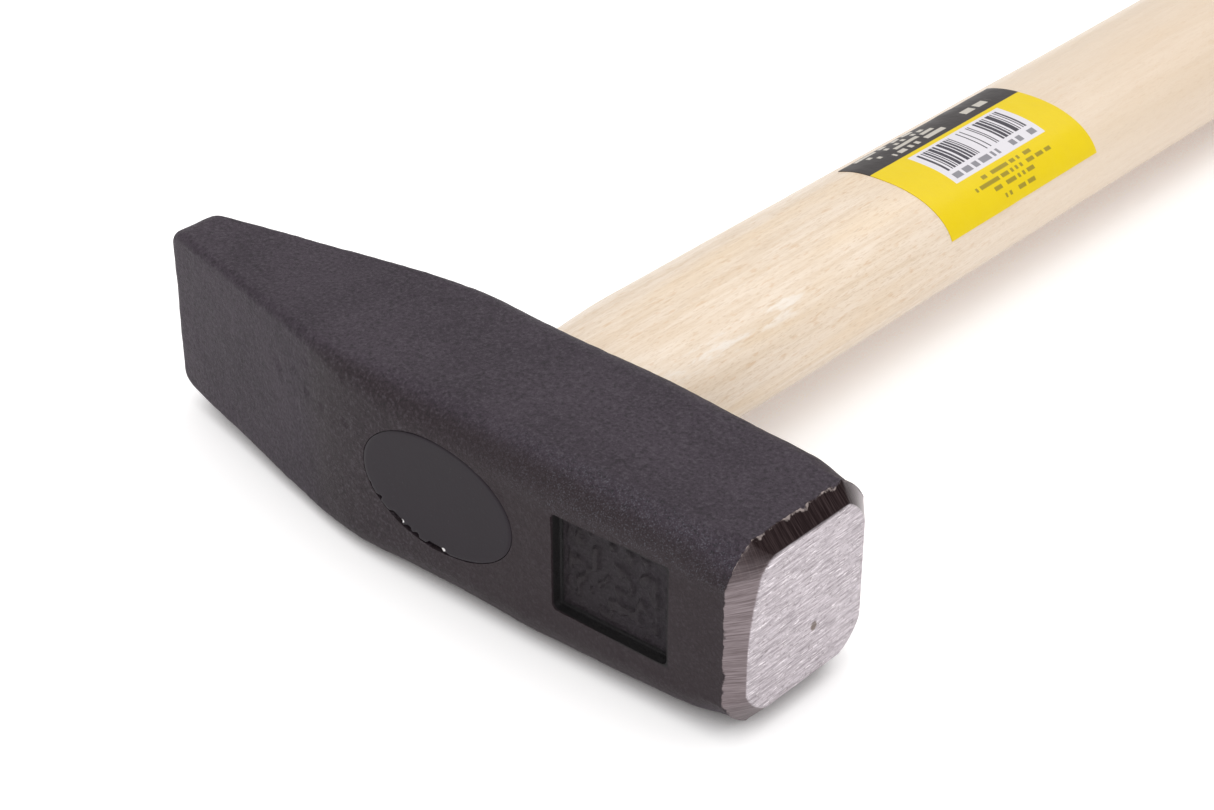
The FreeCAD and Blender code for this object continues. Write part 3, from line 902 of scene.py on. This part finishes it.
def seal_material():
    """Smooth, slightly glossy black resin, with two painted glints, that is painted highlights, at its chipped
    rim.
    """
    graph = Graph("black_resin")
    blotch = graph.even_noise(0.12, 2)
    dust = graph.even_noise(2.4, 3)
    colour = graph.mix(blotch, RESIN_DARK, RESIN_LIGHT)
    # Painted highlights at the chipped rim.
    for place in PAINTED_GLINT_PLACES:
        colour = graph.mix(graph.near(place, PAINTED_GLINT_REACH), colour, SEAL_PAINTED_GLINT)
    colour = graph.tint(colour, RESIN_DUST, graph.step(dust, 0.66, 0.78), 0.2)
    graph.surface(Base_Color=colour, Specular_IOR_Level=0.2, Roughness=graph.blend(blotch, 0.34, 0.44),
                  Normal=graph.bump(dust, 0.02, 0.5))
    return graph.material


def wood_material(name, lacquer):
    """Pale straight-grained wood, along Y, under a thin uneven lacquer. With the lacquer come painted
    highlights along the upper edge near the head.
    """
    graph = Graph(name)
    grain = graph.noise(graph.stretched(1.2, 0.06, 1.2), 5, 0.65)
    fibres = graph.noise(graph.stretched(3.4, 0.26, 3.4), 4, 0.7)
    flecks = graph.noise(graph.stretched(2.0, 0.40, 2.0), 3, 0.5)
    pores = graph.noise(graph.stretched(6.5, 0.8, 6.5), 2, 0.5)
    warm = graph.noise(graph.stretched(0.16, 0.02, 0.16), 3, 0.5)
    pale = graph.noise(graph.stretched(0.05, 0.012, 0.05), 2)
    y = graph.split(graph.place)[1]
    colour = graph.mix(graph.step(grain, 0.30, 0.70), WOOD_DARK, WOOD_LIGHT)
    colour = graph.tint(colour, WOOD_WARM, graph.step(warm, 0.45, 0.70), 0.35)
    colour = graph.tint(colour, WOOD_FIBRE, graph.step(fibres, 0.46, 0.32), 0.38)
    colour = graph.tint(colour, WOOD_FLECK, graph.step(flecks, 0.59, 0.70), 0.40)
    colour = graph.tint(colour, WOOD_PORE, graph.step(pores, 0.56, 0.68), 0.42)
    colour = graph.tint(colour, WOOD_PALE, graph.step(pale, 0.45, 0.65), 0.4)
    # Darker and warmer from 60 mm to 150 mm along the handle.
    colour = graph.tint(colour, WOOD_TOWARDS_BUTT, graph.reach(y, 60, 150), 0.60)
    if lacquer:
        # Painted highlights along the upper edge near the head.
        colour = graph.mix(painted_lacquer_highlights(graph), colour, LACQUER_PAINTED_HIGHLIGHT)
        wave = graph.noise(graph.stretched(0.30, 0.12, 0.30), 4, 0.6)
        graph.surface(Coat_Weight=0.35, Coat_Roughness=0.16, Coat_Normal=graph.bump(wave, 0.5, 0.7))
    graph.surface(Base_Color=colour, Roughness=graph.blend(fibres, 0.42, 0.58),
                  Normal=graph.bump(graph.maths("ADD", fibres, grain), 0.05, 0.5))
    return graph.material


def painted_lacquer_highlights(graph):
    """Painted highlights: bright, broken streaks laid into the wood's colour along the upper edge near the
    head.
    """
    x, y, z = graph.split(graph.place)
    ridge = graph.times(graph.reach(x, 8.2, 9.4), graph.reach(x, 12.2, 10.8), graph.reach(z, 20, 21.5))
    stretch = graph.times(graph.reach(y, 17, 21), graph.reach(y, 54, 47))
    broken = graph.step(graph.noise(graph.stretched(0.7, 0.14, 0.7), 4, 0.6), 0.47, 0.64)
    return graph.times(ridge, stretch, broken, 0.55)


def steel_material():
    """Plain mild steel with a rolled surface."""
    graph = Graph("rolled_steel")
    roll = graph.noise(graph.stretched(2.0, 0.3, 2.0), 3)
    graph.surface(Base_Color=graph.mix(roll, STEEL_DARK, STEEL_LIGHT), Metallic=1.0,
                  Roughness=graph.blend(roll, 0.4, 0.55), Normal=graph.bump(roll, 0.05, 0.5))
    return graph.material


# ---------------------------------------------------------------- label's print

YELLOW_DEEP = (0.80, 0.59, 0.001, 1)
YELLOW_BRIGHT = (0.83, 0.63, 0.002, 1)
STRIP_BLACK = (0.040, 0.034, 0.034, 1)
PATCH_WHITE = (0.76, 0.735, 0.775, 1)
BAR_INK = (0.06, 0.055, 0.07, 1)
PATCH_INK = (0.10, 0.10, 0.12, 1)
YELLOW_INK = (0.16, 0.13, 0.03, 1)
STRIP_INK = (0.66, 0.62, 0.55, 1)
PRINT_SOFT = 0.08

# Places on the flat label are (low, high) around the handle, then (low, high) along it, in millimetres.
PATCH = ((10.9, 20.3), (8.2, 32.0))
BARS = ((13.6, 19.7), (9.6, 30.6))
ROW_UNDER_BARS = ((11.6, 12.8), (9.2, 30.8))
YELLOW_ROWS = [((9.2, 9.9), (13, 26)), ((7.9, 8.6), (10, 30)), ((6.6, 7.3), (13, 26)), ((5.0, 5.7), (15, 23))]
STRIP_ROWS = [((22.2, 23.2), (8, 21)), ((23.8, 24.6), (6, 20)), ((25.1, 25.9), (5, 19)),
              ((26.4, 27.1), (3, 18)), ((22.8, 24.3), (27, 34))]


def printed_box(graph, flat, place):
    """1 inside a rectangle of the flat label, 0 outside."""
    edges = []
    for value, (low, high) in zip(flat, place):
        edges.append(graph.step(value, low - PRINT_SOFT, low + PRINT_SOFT))
        edges.append(graph.step(value, high + PRINT_SOFT, high - PRINT_SOFT))
    return graph.times(*edges)


def printed_blocks(graph, flat, place, width, seed, share=0.62):
    """A rectangle broken along the handle into cells of one width, of which the share is printed."""
    cell = graph.maths("FLOOR", graph.maths("DIVIDE", flat[1], width))
    chance = graph.add("ShaderNodeTexWhiteNoise", noise_dimensions="1D")
    graph.feed(chance.inputs["W"], graph.maths("ADD", cell, seed))
    printed = graph.maths("LESS_THAN", chance.outputs["Value"], share)
    return graph.times(printed_box(graph, flat, place), printed)


def label_material():
    """Printed film: yellow with a black strip, a white patch of bars, and rows of small blocks."""
    graph = Graph("printed_film")
    flat = graph.split(graph.add("ShaderNodeUVMap", uv_map="print").outputs[0])[:2]
    colour = graph.mix(graph.even_noise(0.4, 2), YELLOW_DEEP, YELLOW_BRIGHT)
    colour = graph.mix(graph.step(flat[0], 21.1, 21.25), colour, STRIP_BLACK)
    colour = graph.mix(printed_box(graph, flat, PATCH), colour, PATCH_WHITE)
    colour = graph.mix(printed_blocks(graph, flat, BARS, 0.26, 3.0, 0.42), colour, BAR_INK)
    under_bars = printed_blocks(graph, flat, ROW_UNDER_BARS, 0.62, 40.0, 0.6)
    colour = graph.tint(colour, PATCH_INK, under_bars, 0.75)
    for row, place in enumerate(YELLOW_ROWS):
        words = printed_blocks(graph, flat, place, 0.62, 70.0 + 31 * row)
        colour = graph.tint(colour, YELLOW_INK, words, 0.7)
    for row, place in enumerate(STRIP_ROWS):
        words = printed_blocks(graph, flat, place, 0.85, 200.0 + 17 * row)
        colour = graph.tint(colour, STRIP_INK, words, 0.85)
    wear = graph.even_noise(0.5, 2)
    graph.surface(Base_Color=colour, Specular_IOR_Level=0.25, Roughness=graph.blend(wear, 0.30, 0.42),
                  Normal=graph.bump(graph.even_noise(0.25, 3), 0.3, 0.5))
    return graph.material


# ---------------------------------------------------------------- stage, lights and camera

FLOOR_HALF = 4.0
FLOOR_OPEN = (0.90, 0.89, 0.89, 1)
# Painted shadow colours for the floor where the occlusion finds it covered: grey near the head, warm brown
# along the handle.
FLOOR_PAINTED_SHADOW = (0.80, 0.77, 0.77, 1)
FLOOR_PAINTED_WARM_SHADOW = (0.66, 0.50, 0.39, 1)
CONTACT_REACH = 0.014
FLOOR_LIFT = 0.36
WORLD_COLOUR = (1, 0.99, 0.985, 1)
WORLD_LIGHT = 0.62
WORLD_SEEN = 1.04


def build_floor():
    """White table top. It is lifted to white where it is open, and keeps the hammer's shadow. Where it is
    covered, its colour is painted darker as shadow, warm brown along the handle, and its lift drops away: a
    painted contact shadow.
    """
    corners = [(-FLOOR_HALF, -FLOOR_HALF, 0), (FLOOR_HALF, -FLOOR_HALF, 0), (FLOOR_HALF, FLOOR_HALF, 0),
               (-FLOOR_HALF, FLOOR_HALF, 0)]
    mesh = bpy.data.meshes.new("table_top")
    mesh.from_pydata(corners, [], [(0, 1, 2, 3)])
    floor = bpy.data.objects.new("table_top", mesh)
    bpy.context.scene.collection.objects.link(floor)
    graph = Graph("white_table")
    openness = graph.add("ShaderNodeAmbientOcclusion", samples=8)
    openness.inputs["Distance"].default_value = CONTACT_REACH
    # Painted contact shadow: where covered, the floor's colour is darker and its lift is dropped.
    open_share = graph.step(openness.outputs["AO"], 0.10, 0.55)
    warm_shadow_share = graph.reach(graph.split(graph.place)[1], 8, 22)
    painted_shadow = graph.mix(warm_shadow_share, FLOOR_PAINTED_SHADOW, FLOOR_PAINTED_WARM_SHADOW)
    rays = graph.add("ShaderNodeLightPath").outputs
    seen = graph.maths("MAXIMUM", rays["Is Camera Ray"], rays["Is Glossy Ray"])
    lift = graph.times(graph.blend(open_share, 0.0, FLOOR_LIFT), seen)
    graph.surface(Base_Color=graph.mix(open_share, painted_shadow, FLOOR_OPEN), Roughness=0.9,
                  Specular_IOR_Level=0.0, Emission_Color=(1, 1, 1, 1), Emission_Strength=lift)
    mesh.materials.append(graph.material)


def add_lamp(name, place, target, size, energy):
    lamp = bpy.data.lights.new(name, "AREA")
    lamp.shape = "RECTANGLE"
    lamp.size = size
    lamp.size_y = size
    lamp.energy = energy
    holder = bpy.data.objects.new(name, lamp)
    bpy.context.scene.collection.objects.link(holder)
    holder.location = place
    holder.rotation_euler = (Vector(target) - Vector(place)).to_track_quat("-Z", "Y").to_euler()


def build_light():
    """A soft tent: pale surroundings, a broad lamp overhead and behind, a weak one in front."""
    world = bpy.data.worlds.new("studio")
    bpy.context.scene.world = world
    world.use_nodes = True
    nodes = world.node_tree.nodes
    links = world.node_tree.links
    background = nodes["Background"]
    rays = nodes.new("ShaderNodeLightPath")
    seen = nodes.new("ShaderNodeMath")
    seen.operation = "MAXIMUM"
    links.new(rays.outputs["Is Camera Ray"], seen.inputs[0])
    links.new(rays.outputs["Is Transmission Ray"], seen.inputs[1])
    strength = nodes.new("ShaderNodeMapRange")
    links.new(seen.outputs[0], strength.inputs["Value"])
    strength.inputs["To Min"].default_value = WORLD_LIGHT
    strength.inputs["To Max"].default_value = WORLD_SEEN
    links.new(strength.outputs[0], background.inputs["Strength"])
    background.inputs["Color"].default_value = WORLD_COLOUR
    add_lamp("overhead", (-0.15, 0.25, 1.0), (0, 0.08, 0), 1.6, 7.5)
    add_lamp("front_fill", (0.85, -0.55, 0.5), (0, 0.05, 0), 0.8, 3.4)


CAMERA_PLACE = (0.2100, -0.2163, 0.2123)
CAMERA_TURN = 41.75
CAMERA_TILT = 32.07
LENS = 80.0


def build_camera():
    """Looks down on the head from the front right, with the handle running away."""
    turn = math.radians(CAMERA_TURN)
    tilt = math.radians(CAMERA_TILT)
    forward = Vector((-math.sin(turn) * math.cos(tilt), math.cos(turn) * math.cos(tilt), -math.sin(tilt)))
    right = forward.cross(Vector((0, 0, 1))).normalized()
    axes = Matrix((right, right.cross(forward), -forward)).transposed().to_4x4()
    camera = bpy.data.cameras.new("camera")
    camera.lens = LENS
    camera.sensor_width = 36
    camera.sensor_fit = "HORIZONTAL"
    camera.clip_start = 0.01
    holder = bpy.data.objects.new("camera", camera)
    bpy.context.scene.collection.objects.link(holder)
    holder.matrix_world = Matrix.Translation(CAMERA_PLACE) @ axes
    bpy.context.scene.camera = holder


def dress_hidden_nodes():
    """Materials for the wedges inside the eye."""
    dress(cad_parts["wood_wedge"], wood_material("raw_wedge_wood", lacquer=False))
    dress(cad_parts["steel_wedge"], steel_material())


build_camera()
build_head()
build_seal()
build_handle()
build_label()
dress_hidden_nodes()
build_floor()
build_light()
bpy.context.scene.view_settings.view_transform = "Standard"
